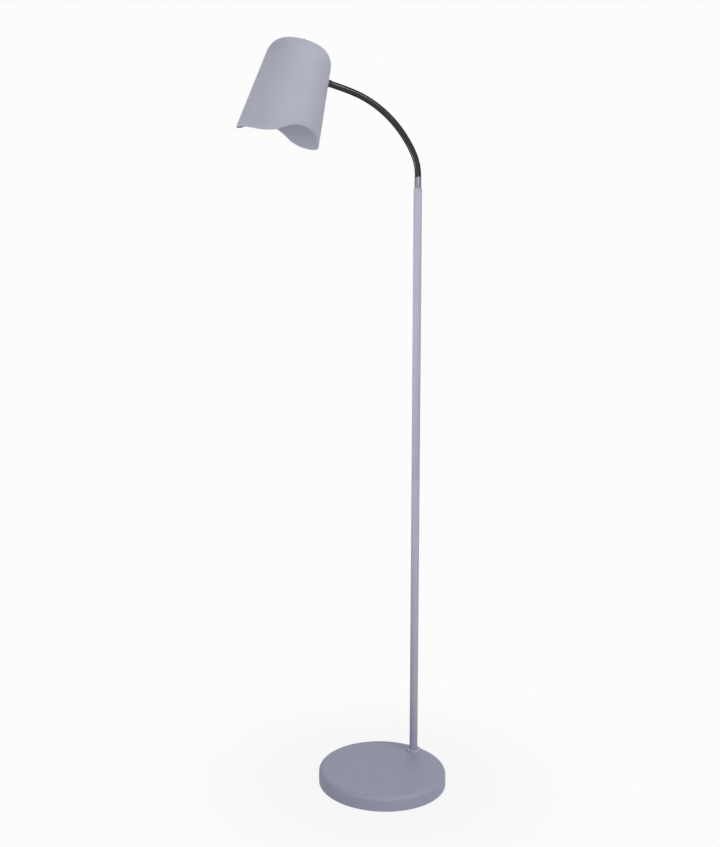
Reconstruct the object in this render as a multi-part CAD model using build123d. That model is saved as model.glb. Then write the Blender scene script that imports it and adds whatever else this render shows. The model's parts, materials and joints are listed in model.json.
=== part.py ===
"""Gooseneck reading floor lamp: weighted round base, two-piece pole, bendable neck and bell shade.

Millimetres, +Z up. The origin is the centre of the round base on the floor, and +X runs from
the pole towards that centre. The neck leaves that line by NECK_TURN, as it stands at rest.
"""

from build123d import *
from math import acos, ceil, cos, pi, radians, sin, sqrt, tan
import os

# Base: a pressed cover over a cast weight, on a soft pad
BASE_DIAMETER = 250.0
BASE_HEIGHT = 30.0
BASE_EDGE_RADIUS = 9.0
COVER_WALL = 1.5
SKIRT_LIFT = 1.0
PAD_THICKNESS = 2.0
PAD_MARGIN = 6.0
WEIGHT_MARGIN = 5.5
WEIGHT_THICKNESS = 14.0
BOSS_MARGIN = 11.0
STUD_CIRCLE_DIAMETER = 160.0
STUD_COUNT = 3
STUD_DIAMETER = 6.0
STUD_LENGTH = 24.0
STUD_BOSS_DIAMETER = 26.0
STUD_NUT_FLATS = 10.0
STUD_NUT_HEIGHT = 5.0
STUD_NUT_FLANGE = 14.0
STUD_NUT_DEPTH = 8.0

# Foot of the pole: hollow threaded tube, washer and nut
POLE_MARGIN = 22.0
FOOT_THREAD = 10.0
FOOT_PLUG_LENGTH = 25.0
FOOT_WEB = 4.5
FOOT_POCKET_DIAMETER = 40.0
FOOT_BOSS_DIAMETER = 54.0
FOOT_WASHER_DIAMETER = 24.0
FOOT_WASHER_THICKNESS = 1.6
FOOT_NUT_FLATS = 14.0
FOOT_NUT_HEIGHT = 5.0
THREAD_TUBE_BORE = 5.8
COLLAR_RING_DIAMETER = 29.0
COLLAR_RING_HEIGHT = 4.0
COLLAR_RING_EDGE = 1.8

# Pole
POLE_DIAMETER = 16.0
POLE_WALL = 1.2
POLE_TOP = 1165.0
POLE_JOINT = 598.0
COUPLER_LENGTH = 60.0
CAP_HEIGHT = 7.0
CAP_TOP_DIAMETER = 14.2
CAP_SPIGOT = 22.0

# Cord inlet and the inner lead
LEAD_DIAMETER = 4.4
LEAD_BEND = 9.0
INLET_HEIGHT = 7.2
GROMMET_FLANGE = 11.0
GROMMET_THROAT = 8.8
GROMMET_LIP = 2.0

# Neck: lower ferrule, hose and upper collar
NECK_TURN = -23.4
FERRULE_DIAMETER = 12.6
FERRULE_LENGTH = 22.0
FERRULE_SPIGOT = 15.0
HOSE_DIAMETER = 11.8
HOSE_GROOVE = 0.55
HOSE_BORE = 5.6
RIB_PITCH = 4.4
LOWER_BEND_RADIUS = 92.0
LOWER_BEND_ANGLE = 27.0
LOWER_LINKS = 2
UPPER_BEND_RADIUS = 234.0
UPPER_BEND_ANGLE = 45.25
UPPER_LINKS = 6
STRAIGHT_LENGTH = 36.0
NECK_COLLAR_DIAMETER = 13.0
NECK_COLLAR_LENGTH = 12.0
JOINT_GAP = 1.3
BALL_DIAMETER = 9.8
HOSE_SIDES = 12
LEAD_SIDES = 8
BALL_BANDS = (-0.45, 0, 0.3, 0.53)
SOCKET_BANDS = (0.1, 0.3, 0.52, 0.7)
SOCKET_CLOSE = 0.8
MOUTH_SHARE = 0.9
FERRULE_CHAMFER = 0.5

# Shade: a spun bell with a scallop cut through both sides of its rim
SHADE_WALL = 1.0
SHADE_LENGTH = 180.0
SHADE_MOUTH_DIAMETER = 152.6
SHADE_FLARE_ANGLE = 6.8
CROWN_RADIUS = 125.0
SHOULDER_RADIUS = 38.0
SCALLOP_RADIUS = 66.0
SCALLOP_HEIGHT = 27.0
SCALLOP_OFFSET = -9.5
SCALLOP_EASE_RADIUS = 60.0
SCALLOP_TURN = 4.0
ENTRY_DEPTH = 57.0
STUD_REACH = 14.0
SADDLE_WIDTH = 22.0
SADDLE_THICKNESS = 3.0
SHADE_WASHER_THICKNESS = 1.2

# Lampholder and lamp
SCREW_DIAMETER = 5.0
SCREW_HEAD_DIAMETER = 9.6
SCREW_HEAD_HEIGHT = 2.4
SCREW_LENGTH = 9.0
HEAD_BANDS = (0.4, 0.8, 1)
STEM_DIAMETER = 14.0
STEM_LENGTH = 12.0
STEM_SPIGOT = 5.0
HOLDER_DIAMETER = 40.0
HOLDER_CAP_HEIGHT = 14.0
HOLDER_SHELL_HEIGHT = 33.0
HOLDER_WALL = 3.0
HOLDER_TAPER = 1.5
HOLDER_EDGE = 2.0
HOLDER_INSERT_HEIGHT = 6.0
LAMP_CAP_DIAMETER = 26.4
LAMP_CAP_HEIGHT = 22.0
LAMP_TIP_DIAMETER = 9.0
LAMP_TIP_HEIGHT = 2.4
THREAD_SHELL_WALL = 0.5
CONTACT_HEIGHT = 3.2
CONTACT_STRIP = 0.5
LAMP_COLLAR_HEIGHT = 31.0
LAMP_COLLAR_DIAMETER = 54.0
LAMP_COLLAR_START = (0.12, -1)
LAMP_GLOBE_DIAMETER = 60.0

# Clearances
FIT = 0.05
EASY = 0.2
SEAT = 0.1
OVERCUT = 1.0

# Round faces are flat facets, at most FACET inside the true circle, and arcs are chords
FACET = 0.12
CHORD = 10.0
EDGE_CHORD = 3.5
TOUCHING = 0.001

base_radius = BASE_DIAMETER / 2
pole_offset = base_radius - POLE_MARGIN
pole_radius = POLE_DIAMETER / 2
pole_bore = pole_radius - POLE_WALL
lead_radius = LEAD_DIAMETER / 2
thread_radius = FOOT_THREAD / 2
cover_inside = BASE_HEIGHT - COVER_WALL
web_underside = cover_inside - FOOT_WEB
foot_nut_top = web_underside - FOOT_WASHER_THICKNESS
thread_tube_end = foot_nut_top - FOOT_NUT_HEIGHT - OVERCUT
foot = Pos(-pole_offset, 0, 0)
neck_place = foot * Rot(0, 0, NECK_TURN)
hose_radius = HOSE_DIAMETER / 2
ball_radius = BALL_DIAMETER / 2
socket_radius = ball_radius + EASY + SEAT + FIT


def side_count(radius):
    """Sides, in fours, of the polygon that stands for a circle."""
    return 4 * ceil(pi / (4 * acos(1 - FACET / radius)))


def prism(radius, sides, low, high, corners=True):
    """Upright prism with flats towards the axes; radius is to its corners, or to its flats."""
    base = RegularPolygon(radius, sides, major_radius=corners, rotation=180 / sides)
    return Pos(0, 0, low) * extrude(base, high - low)


def rod(radius, low, high):
    """Round bar about Z."""
    return prism(radius, side_count(radius), low, high)


def bore(radius, low, high):
    """Round hole about Z: its flats lie on the circle, so that a rod always passes."""
    return prism(radius, side_count(radius), low, high, corners=False)


def ring(outer, inner, low, high):
    """Plain tube or washer about Z."""
    return rod(outer, low, high) - bore(inner, low, high)


def journal(radius, low, high):
    """True cylinder, for the pole's tubes and the fit in which the neck turns."""
    return Pos(0, 0, low) * Cylinder(radius, high - low, align=(Align.CENTER, Align.CENTER, Align.MIN))


def hex_nut(flats, hole, low, high):
    return prism(flats / 2, 6, low, high, corners=False) - bore(hole, low, high)


def chords(outline, chord):
    """Straight sides, as pairs of points, along an outline's edges."""
    sides = []
    for edge in outline.edges():
        steps = max(1, round(edge.length / chord)) if edge.geom_type == GeomType.CIRCLE else 1
        sides += [(edge @ (i / steps), edge @ ((i + 1) / steps)) for i in range(steps)]
    return sides


def spun(sides, count):
    """Solid of flat facets: the sides of a half section in XY, carried round Z in count steps."""
    turns = [2 * pi * (i + 0.5) / count for i in range(count)]
    facets = []
    for start, end in sides:
        for here, there in zip(turns, turns[1:] + turns[:1]):
            corners = [Vector(point.X * cos(turn), point.X * sin(turn), point.Y)
                       for point, turn in ((start, here), (end, here), (end, there), (start, there))]
            corners = [corner for i, corner in enumerate(corners)
                       if (corner - corners[i - 1]).length > TOUCHING]
            if len(corners) > 2:
                facets.append(Face(Wire.make_polygon(corners)))
    return Solid(Shell(facets)).clean()


def turned(outline, sides, chord=CHORD):
    """Turned solid of a drawn half section."""
    return spun(chords(outline, chord), sides)


def faceted(sections, sides=0):
    """Turned bar up Z from (height, radius) sections, as round as FACET asks if sides isn't given."""
    points = [Vector(0, sections[0][0])] + [Vector(radius, height) for height, radius in sections]
    points.append(Vector(0, sections[-1][0]))
    return spun(list(zip(points, points[1:])), sides or side_count(max(radius for _, radius in sections)))


def eased_disc(radius, low, high, ease):
    """Short round plug with its upper edge bevelled."""
    return faceted([(low, radius), (high - ease, radius), (high, radius - ease)])


# ---------------------------------------------------------------- base

def cover_outline(inset):
    """Half section of the pressed cover's outside, moved in by its wall for the inside."""
    height = BASE_HEIGHT - inset - SKIRT_LIFT
    half = Pos(0, SKIRT_LIFT) * Rectangle(base_radius - inset, height, align=(Align.MIN, Align.MIN))
    edge = [v for v in half.vertices() if v.X > 0 and v.Y > SKIRT_LIFT]
    return fillet(edge, BASE_EDGE_RADIUS - inset)


def base_cover():
    sides = side_count(base_radius)
    shell = turned(cover_outline(0), sides, EDGE_CHORD) - turned(cover_outline(COVER_WALL), sides, EDGE_CHORD)
    shell -= foot * bore(thread_radius + EASY, 0, BASE_HEIGHT + OVERCUT)
    return shell - inlet() * bore(GROMMET_THROAT / 2 + FIT, -2 * COVER_WALL, OVERCUT)


def base_pad():
    return rod(base_radius - PAD_MARGIN, 0, PAD_THICKNESS)


def stud_places():
    return PolarLocations(STUD_CIRCLE_DIAMETER / 2, STUD_COUNT).locations


def base_weight():
    """Cast disc with bosses up to the cover, an open pocket under the pole and nut recesses."""
    plate_top = PAD_THICKNESS + WEIGHT_THICKNESS
    plate = rod(base_radius - WEIGHT_MARGIN - COVER_WALL, PAD_THICKNESS, plate_top)
    bosses = foot * rod(FOOT_BOSS_DIAMETER / 2, PAD_THICKNESS, cover_inside)
    for place in stud_places():
        bosses += place * rod(STUD_BOSS_DIAMETER / 2, PAD_THICKNESS, cover_inside)
    plate += bosses & rod(base_radius - BOSS_MARGIN, PAD_THICKNESS, cover_inside)
    plate -= foot * bore(FOOT_POCKET_DIAMETER / 2, 0, web_underside)
    plate -= foot * bore(thread_radius + EASY, 0, BASE_HEIGHT)
    recess = bore(STUD_NUT_FLANGE / 2 + OVERCUT, 0, PAD_THICKNESS + STUD_NUT_DEPTH)
    recess += bore(STUD_DIAMETER / 2 + EASY, 0, BASE_HEIGHT)
    for place in stud_places():
        plate -= place * recess
    return plate


def cover_studs():
    return [place * rod(STUD_DIAMETER / 2, cover_inside - STUD_LENGTH, cover_inside)
            for place in stud_places()]


def weight_nuts():
    seat = PAD_THICKNESS + STUD_NUT_DEPTH
    flange_height = STUD_NUT_HEIGHT / 4
    nut = hex_nut(STUD_NUT_FLATS, STUD_DIAMETER / 2 + FIT, seat - STUD_NUT_HEIGHT, seat - flange_height)
    nut += ring(STUD_NUT_FLANGE / 2, STUD_DIAMETER / 2 + FIT, seat - flange_height, seat)
    return [place * nut for place in stud_places()]


def inlet():
    """Frame of the cord inlet in the skirt behind the pole: its Z axis points out and back."""
    return Pos(-base_radius, 0, INLET_HEIGHT) * Rot(0, -90, 0)


def cord_grommet():
    inner = -COVER_WALL - EASY
    body = rod(GROMMET_THROAT / 2, inner, EASY)
    body += rod(GROMMET_FLANGE / 2, EASY, EASY + GROMMET_LIP)
    body += rod(GROMMET_FLANGE / 2, inner - GROMMET_LIP, inner)
    body -= bore(lead_radius + EASY, inner - GROMMET_LIP, EASY + GROMMET_LIP)
    return inlet() * body


# ---------------------------------------------------------------- pole

def foot_collar():
    """Ring round the foot of the pole, its upper edge bevelled."""
    radius = COLLAR_RING_DIAMETER / 2
    top = BASE_HEIGHT + COLLAR_RING_HEIGHT
    body = eased_disc(radius, BASE_HEIGHT, top, COLLAR_RING_EDGE)
    return foot * (body - bore(pole_radius + SEAT, BASE_HEIGHT, top))


def foot_plug():
    return foot * ring(pole_bore - FIT, thread_radius + FIT, BASE_HEIGHT, BASE_HEIGHT + FOOT_PLUG_LENGTH)


def foot_tube():
    top = BASE_HEIGHT + FOOT_PLUG_LENGTH - OVERCUT
    return foot * ring(thread_radius, THREAD_TUBE_BORE / 2, thread_tube_end, top)


def foot_washer():
    return foot * ring(FOOT_WASHER_DIAMETER / 2, thread_radius + EASY, foot_nut_top, web_underside)


def foot_nut():
    return foot * hex_nut(FOOT_NUT_FLATS, thread_radius + FIT, foot_nut_top - FOOT_NUT_HEIGHT, foot_nut_top)


def pole_tube(low, high):
    return foot * (journal(pole_radius, low, high) - journal(pole_bore, low, high))


def pole_lower():
    return pole_tube(BASE_HEIGHT, POLE_JOINT)


def pole_upper():
    return pole_tube(POLE_JOINT, POLE_TOP - CAP_HEIGHT)


def pole_coupler():
    half = COUPLER_LENGTH / 2
    return foot * ring(pole_bore - FIT, THREAD_TUBE_BORE / 2, POLE_JOINT - half, POLE_JOINT + half)


def pole_cap():
    """Turned cap with a tapered shoulder: its spigot fills the tube, its bore takes the neck."""
    low = POLE_TOP - CAP_HEIGHT
    waist = POLE_TOP - CAP_HEIGHT / 2
    body = faceted([(low, pole_radius), (waist, pole_radius), (POLE_TOP, CAP_TOP_DIAMETER / 2)])
    body += rod(pole_bore - FIT, low - CAP_SPIGOT, low)
    body -= journal(thread_radius + FIT, POLE_TOP - FERRULE_SPIGOT - OVERCUT, POLE_TOP)
    return foot * (body - bore(THREAD_TUBE_BORE / 2, low - CAP_SPIGOT, POLE_TOP))


def supply_lead():
    """One lead from the inlet, round under the pole and up to the foot of the neck."""
    start = (-base_radius - GROMMET_LIP / 2, 0, INLET_HEIGHT)
    corner = (-pole_offset, 0, INLET_HEIGHT)
    top = (-pole_offset, 0, POLE_TOP - FERRULE_SPIGOT - 2 * OVERCUT)
    path = FilletPolyline(start, corner, top, radius=LEAD_BEND)
    return sweep(Plane(origin=start, z_dir=(1, 0, 0)) * RegularPolygon(lead_radius, LEAD_SIDES), path)


# ---------------------------------------------------------------- neck
# The neck lies in its own XZ plane, with the pole's axis on Z. The real hose is one wound length;
# here it is a chain of ribbed links, each with its socket over the last one's ball. A link is
# modelled up its own Z axis, and its X axis is always the normal of the neck's plane.

def joint_centres():
    """Centres of the neck's joints along its line at rest: two bends, then a straight."""
    centres = [Vector(0, 0, POLE_TOP + FERRULE_LENGTH)]
    angle = 0
    for radius, bend, count in ((LOWER_BEND_RADIUS, LOWER_BEND_ANGLE, LOWER_LINKS),
                                (UPPER_BEND_RADIUS, UPPER_BEND_ANGLE, UPPER_LINKS)):
        for _ in range(count):
            turned_to = angle + radians(bend / count)
            step = Vector(cos(angle) - cos(turned_to), 0, sin(turned_to) - sin(angle)) * radius
            centres.append(centres[-1] + step)
            angle = turned_to
    centres.append(centres[-1] + Vector(sin(angle), 0, cos(angle)) * STRAIGHT_LENGTH)
    return centres


def along_neck(start, end):
    """Frame of a piece that runs from one point of the neck's line to another."""
    return Location(Plane(origin=start, x_dir=(0, 1, 0), z_dir=end - start))


def on_sphere(radius, height):
    return sqrt(radius ** 2 - height ** 2)


def ball():
    """Ball seat about the origin, cut off square where the lead leaves it."""
    heights = [share * ball_radius for share in BALL_BANDS]
    return faceted([(height, on_sphere(ball_radius, height)) for height in heights], HOSE_SIDES)


def socket():
    """Hollow for a ball about the origin, closing to the lead's passage."""
    heights = [share * socket_radius for share in SOCKET_BANDS]
    sections = [(height, on_sphere(socket_radius, height)) for height in heights]
    return faceted(sections + [(SOCKET_CLOSE * socket_radius, HOSE_BORE / 2)], HOSE_SIDES)


def passage(low, joint):
    """The lead's way through a piece, flaring in its ball so that the next lead can tilt."""
    return faceted([(low, HOSE_BORE / 2), (joint - JOINT_GAP, HOSE_BORE / 2),
                    (joint + ball_radius, MOUTH_SHARE * ball_radius)], HOSE_SIDES)


def hose_link(length):
    """Ribbed link with a socket at its foot, a ball on its far end and the lead's passage."""
    groove_radius = hose_radius - HOSE_GROOVE
    span = length - 2 * JOINT_GAP
    count = round(span / RIB_PITCH)
    pitch = span / count
    sections = [(JOINT_GAP, groove_radius)]
    for i in range(count):
        middle = JOINT_GAP + (i + 0.5) * pitch
        sections += [(middle - pitch / 4, hose_radius), (middle + pitch / 4, hose_radius),
                     (middle + pitch / 2, groove_radius)]
    link = faceted(sections, HOSE_SIDES) + Pos(0, 0, length) * ball()
    return link - socket() - passage(SOCKET_CLOSE * socket_radius - SEAT, length)


def link_lead(length):
    """The lead inside one link, stopping half a gap short of both joints."""
    return faceted([(JOINT_GAP / 2, lead_radius), (length - JOINT_GAP / 2, lead_radius)], LEAD_SIDES)


def neck_ferrule():
    """Plated sleeve at the neck's foot, with the threaded spigot that turns in the pole's cap."""
    radius = FERRULE_DIAMETER / 2
    top = FERRULE_LENGTH - JOINT_GAP
    sleeve = faceted([(EASY, radius - FERRULE_CHAMFER), (EASY + FERRULE_CHAMFER, radius),
                      (top - FERRULE_CHAMFER, radius), (top, radius - FERRULE_CHAMFER)])
    sleeve += journal(thread_radius, -FERRULE_SPIGOT, OVERCUT) + Pos(0, 0, FERRULE_LENGTH) * ball()
    return sleeve - passage(-FERRULE_SPIGOT, FERRULE_LENGTH)


def ferrule_lead():
    ends = (-FERRULE_SPIGOT, FERRULE_LENGTH - JOINT_GAP / 2)
    return faceted([(height, lead_radius) for height in ends], LEAD_SIDES)


# ---------------------------------------------------------------- shade
# The head is modelled about the shade's own axis: the crown is at the origin, the mouth faces -Z
# and +X points away from the pole.

def side_radius(depth, inset=0):
    """Radius of the straight flank at a depth below the crown."""
    flare = radians(SHADE_FLARE_ANGLE)
    return SHADE_MOUTH_DIAMETER / 2 - (SHADE_LENGTH - depth) * tan(flare) - inset / cos(flare)


def bell(inset, length):
    """Solid bell of the shade's outline, moved in by inset."""
    flank = make_face(Polyline((0, 0), (side_radius(0, inset), 0), (side_radius(length, inset), -length),
                               (0, -length), (0, 0)))
    half = flank & Pos(0, -CROWN_RADIUS) * Circle(CROWN_RADIUS - inset)
    shoulder = [v for v in half.vertices() if v.X > SHOULDER_RADIUS and v.Y > -length / 2]
    return turned(fillet(shoulder, SHOULDER_RADIUS - inset), side_count(SHADE_MOUTH_DIAMETER / 2))


def rim_cutter():
    """Everything past the rim: a square end with one rounded scallop run through both sides."""
    reach = SHADE_MOUTH_DIAMETER
    region = Pos(0, -SHADE_LENGTH) * Rectangle(2 * reach, reach, align=(Align.CENTER, Align.MAX))
    region += Pos(SCALLOP_OFFSET, -SHADE_LENGTH + SCALLOP_HEIGHT - SCALLOP_RADIUS) * Circle(SCALLOP_RADIUS)
    corners = [v for v in region.vertices() if abs(v.Y + SHADE_LENGTH) < SEAT and abs(v.X) < reach / 2]
    outline = chords(fillet(corners, SCALLOP_EASE_RADIUS), CHORD)
    region = make_face([Line(start, end) for start, end in outline])
    return Rot(0, 0, SCALLOP_TURN) * extrude(Plane.XZ * region, reach, both=True)


def entry():
    """Frame of the neck's entry: origin on the shade's axis, Z pointing in from the back."""
    return Location(Plane(origin=(0, 0, -ENTRY_DEPTH), x_dir=(0, 1, 0), z_dir=(1, 0, 0)))


def shade():
    bell_length = SHADE_LENGTH + OVERCUT
    shell = bell(0, bell_length) - bell(SHADE_WALL, bell_length + OVERCUT) - rim_cutter()
    shell -= bore(SCREW_DIAMETER / 2 + EASY, -SHOULDER_RADIUS, OVERCUT)
    return shell - entry() * bore(thread_radius + EASY, -SHADE_MOUTH_DIAMETER, -SHADE_MOUTH_DIAMETER / 4)


def wall_distance():
    """How far the outside of the wall lies from the axis where the neck enters."""
    return side_radius(ENTRY_DEPTH)


def collar_place():
    """Frame of the upper collar: origin at the neck's last joint, Z into the shade."""
    return entry() * Pos(0, 0, -wall_distance() - NECK_COLLAR_LENGTH)


def neck_collar():
    """Upper collar: shaped to the shade's back, socket at its foot, threaded end through the wall."""
    radius = NECK_COLLAR_DIAMETER / 2
    barrel = faceted([(JOINT_GAP, radius - FERRULE_CHAMFER), (JOINT_GAP + FERRULE_CHAMFER, radius),
                      (NECK_COLLAR_LENGTH + 2 * OVERCUT, radius)])
    barrel = collar_place() * barrel - bell(-SEAT, SHADE_LENGTH)
    barrel += collar_place() * rod(thread_radius, NECK_COLLAR_LENGTH / 2, NECK_COLLAR_LENGTH + STUD_REACH)
    hollow = socket() + prism(HOSE_BORE / 2, HOSE_SIDES, socket_radius / 2, NECK_COLLAR_LENGTH + STUD_REACH)
    return barrel - collar_place() * hollow


def saddle_face():
    """Distance from the shade's axis to the flat inner face of the saddle."""
    return side_radius(ENTRY_DEPTH - SADDLE_WIDTH / 2, SHADE_WALL) - SADDLE_THICKNESS / 2


def neck_saddle():
    """Plate formed to the inside of the wall, with a flat face for the washer and nut."""
    block = entry() * Pos(0, 0, -saddle_face()) * Box(
        SADDLE_WIDTH, SADDLE_WIDTH, 4 * SADDLE_THICKNESS, align=(Align.CENTER, Align.CENTER, Align.MAX))
    block &= bell(SHADE_WALL + EASY, SHADE_LENGTH)
    return block - entry() * bore(thread_radius + EASY, -SHADE_MOUTH_DIAMETER, 0)


def neck_washer():
    low = -saddle_face()
    return entry() * ring(SADDLE_WIDTH / 2 - OVERCUT, thread_radius + EASY, low, low + SHADE_WASHER_THICKNESS)


def neck_nut():
    low = -saddle_face() + SHADE_WASHER_THICKNESS
    return entry() * hex_nut(FOOT_NUT_FLATS, thread_radius + FIT, low, low + FOOT_NUT_HEIGHT)


# ---------------------------------------------------------------- lampholder and lamp

def crown_sag(radius):
    """Drop of the crown's inner face at a radius from the axis."""
    inner = CROWN_RADIUS - SHADE_WALL
    return SHADE_WALL + inner - on_sphere(inner, radius)


stem_top = -crown_sag(STEM_DIAMETER / 2) - EASY
holder_top = stem_top - STEM_LENGTH
shell_top = holder_top - HOLDER_CAP_HEIGHT
shell_mouth = shell_top - HOLDER_SHELL_HEIGHT
insert_face = shell_top - HOLDER_INSERT_HEIGHT
lamp_tip = insert_face - CONTACT_HEIGHT
lamp_cap_top = lamp_tip - LAMP_TIP_HEIGHT
lamp_collar_top = lamp_cap_top - LAMP_CAP_HEIGHT
globe_top = lamp_collar_top - LAMP_COLLAR_HEIGHT
lead_entry = holder_top - HOLDER_CAP_HEIGHT / 2


def crown_screw():
    """Round-head screw through the crown, the small fitting on top of the shade."""
    radius = SCREW_HEAD_DIAMETER / 2
    shank = SCREW_DIAMETER / 2
    dome = [(share * SCREW_HEAD_HEIGHT, radius * sqrt(1 - share ** 2)) for share in HEAD_BANDS]
    return faceted([(-SCREW_LENGTH, shank), (0, shank), (0, radius)] + dome)


def holder_stem():
    body = rod(STEM_DIAMETER / 2, holder_top, stem_top)
    body += rod(thread_radius, holder_top - STEM_SPIGOT, holder_top)
    return body - bore(SCREW_DIAMETER / 2 + FIT, -SCREW_LENGTH - OVERCUT, 0)


def holder_cap():
    """Domed top of the lampholder, with the stem's seat and the side hole for the lead."""
    radius = HOLDER_DIAMETER / 2
    neck = STEM_DIAMETER / 2 + HOLDER_EDGE
    outline = Polyline((0, shell_top), (radius, shell_top), (radius, shell_top + HOLDER_WALL))
    outline += TangentArc((radius, shell_top + HOLDER_WALL), (neck, holder_top), tangent=(0, 1))
    outline += Polyline((neck, holder_top), (0, holder_top), (0, shell_top))
    body = turned(outline, side_count(radius), CHORD / 2)
    body -= bore(thread_radius + FIT, holder_top - STEM_SPIGOT - SEAT, holder_top)
    side_hole = bore(lead_radius + EASY, thread_radius + HOLDER_EDGE, radius)
    return body - Pos(0, 0, lead_entry) * Rot(0, -90, 0) * side_hole


def holder_shell():
    """Skirt of the lampholder, tapered outside and eased at its mouth."""
    outer = HOLDER_DIAMETER / 2
    mouth = outer - HOLDER_TAPER
    ease = HOLDER_WALL / 4
    body = faceted([(shell_mouth, mouth - ease), (shell_mouth + ease, mouth), (shell_top, outer)])
    return body - bore(mouth - HOLDER_WALL, shell_mouth, shell_top)


def holder_inside():
    return HOLDER_DIAMETER / 2 - HOLDER_TAPER - HOLDER_WALL - FIT


def holder_insert():
    """Ceramic disc that carries the contact and the thread shell."""
    return rod(holder_inside(), insert_face, shell_top)


def holder_contact():
    """Bent strip that presses on the lamp's tip."""
    width = LAMP_TIP_DIAMETER / 2
    drop = CONTACT_HEIGHT - FIT
    outline = Polyline((-2 * width, 0), (-2 * width, -CONTACT_STRIP), (0, -drop), (width, -drop),
                       (width, -drop + CONTACT_STRIP), (SEAT, -drop + CONTACT_STRIP),
                       (-2 * width + 2 * CONTACT_STRIP, 0), (-2 * width, 0))
    return Pos(0, 0, insert_face) * extrude(Plane.XZ * make_face(outline), width / 2, both=True)


def holder_thread():
    """Pressed brass shell that the lamp screws into, with the flange it is held by."""
    inner = LAMP_CAP_DIAMETER / 2 + EASY
    outer = inner + THREAD_SHELL_WALL
    shell = ring(outer, inner, lamp_collar_top + 2 * OVERCUT, insert_face)
    return shell + ring(holder_inside(), inner, insert_face - 2 * THREAD_SHELL_WALL, insert_face)


def lamp_cap():
    return eased_disc(LAMP_CAP_DIAMETER / 2, lamp_collar_top, lamp_cap_top, 2 * THREAD_SHELL_WALL)


def lamp_tip_contact():
    return eased_disc(LAMP_TIP_DIAMETER / 2, lamp_cap_top, lamp_tip, LAMP_TIP_HEIGHT / 2)


def lamp_collar():
    """Moulded neck of the lamp, flaring to the globe."""
    top_radius = LAMP_CAP_DIAMETER / 2 + SHADE_WALL
    low_radius = LAMP_COLLAR_DIAMETER / 2
    outline = Line((0, lamp_collar_top), (top_radius, lamp_collar_top))
    outline += TangentArc((top_radius, lamp_collar_top), (low_radius, globe_top), tangent=LAMP_COLLAR_START)
    outline += Polyline((low_radius, globe_top), (0, globe_top), (0, lamp_collar_top))
    return turned(outline, side_count(low_radius))


def lamp_globe():
    radius = LAMP_GLOBE_DIAMETER / 2
    rim = LAMP_COLLAR_DIAMETER / 2
    centre = globe_top - on_sphere(radius, rim)
    outline = Line((0, globe_top), (rim, globe_top))
    outline += ThreePointArc((rim, globe_top), (radius, centre), (0, centre - radius))
    outline += Line((0, centre - radius), (0, globe_top))
    return turned(outline, side_count(rim))


def shade_lead():
    """Lead from the neck through the collar, up beside the holder and into its cap."""
    start = (-wall_distance() - NECK_COLLAR_LENGTH + JOINT_GAP / 2, 0, -ENTRY_DEPTH)
    riser = -HOLDER_DIAMETER / 2 - 2 * LEAD_DIAMETER - LEAD_BEND / 2
    end = (-thread_radius - HOLDER_EDGE - OVERCUT, 0, lead_entry)
    path = FilletPolyline(start, (riser, 0, -ENTRY_DEPTH), (riser, 0, lead_entry), end, radius=LEAD_BEND)
    return sweep(Plane(origin=start, z_dir=(1, 0, 0)) * RegularPolygon(lead_radius, LEAD_SIDES), path)


# ---------------------------------------------------------------- assembly

def head_place(joint, along):
    """The shade's frame: its back wall meets the end of the neck, its axis square to it."""
    shade_up = along.rotate(Axis.Y, -90)
    crown = joint + along * (NECK_COLLAR_LENGTH + wall_distance()) + shade_up * ENTRY_DEPTH
    return Location(Plane(origin=crown, x_dir=along, z_dir=shade_up))


def save(node, *solids):
    """Write one node's STEP file."""
    shape = solids[0] if len(solids) == 1 else Compound(children=list(solids))
    shape.label = node
    export_step(shape, f"parts/{node}.step")


def build_stand():
    save("base_cover", base_cover())
    save("base_weight", base_weight())
    save("base_pad", base_pad())
    save("cover_studs", *cover_studs())
    save("weight_nuts", *weight_nuts())
    save("cord_grommet", cord_grommet())
    save("foot_collar", foot_collar())
    save("foot_plug", foot_plug())
    save("foot_tube", foot_tube())
    save("foot_washer", foot_washer())
    save("foot_nut", foot_nut())
    save("pole_lower", pole_lower())
    save("pole_coupler", pole_coupler())
    save("pole_upper", pole_upper())
    save("pole_cap", pole_cap())
    save("supply_lead", supply_lead())


def build_neck(centres):
    save("neck_ferrule", neck_place * Pos(0, 0, POLE_TOP) * neck_ferrule())
    save("ferrule_lead", neck_place * Pos(0, 0, POLE_TOP) * ferrule_lead())
    for number, (start, end) in enumerate(zip(centres, centres[1:]), start=1):
        place = neck_place * along_neck(start, end)
        save(f"hose_link_{number}", place * hose_link((end - start).length))
        save(f"hose_lead_{number}", place * link_lead((end - start).length))


def build_head(place):
    pieces = {
        "neck_collar": neck_collar, "neck_saddle": neck_saddle, "neck_washer": neck_washer,
        "neck_nut": neck_nut, "shade": shade, "crown_screw": crown_screw, "holder_stem": holder_stem,
        "holder_cap": holder_cap, "holder_shell": holder_shell, "holder_insert": holder_insert,
        "holder_contact": holder_contact, "holder_thread": holder_thread, "lamp_cap": lamp_cap,
        "lamp_tip": lamp_tip_contact, "lamp_collar": lamp_collar, "lamp_globe": lamp_globe,
        "shade_lead": shade_lead,
    }
    for node, make in pieces.items():
        save(node, neck_place * place * make())


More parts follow.
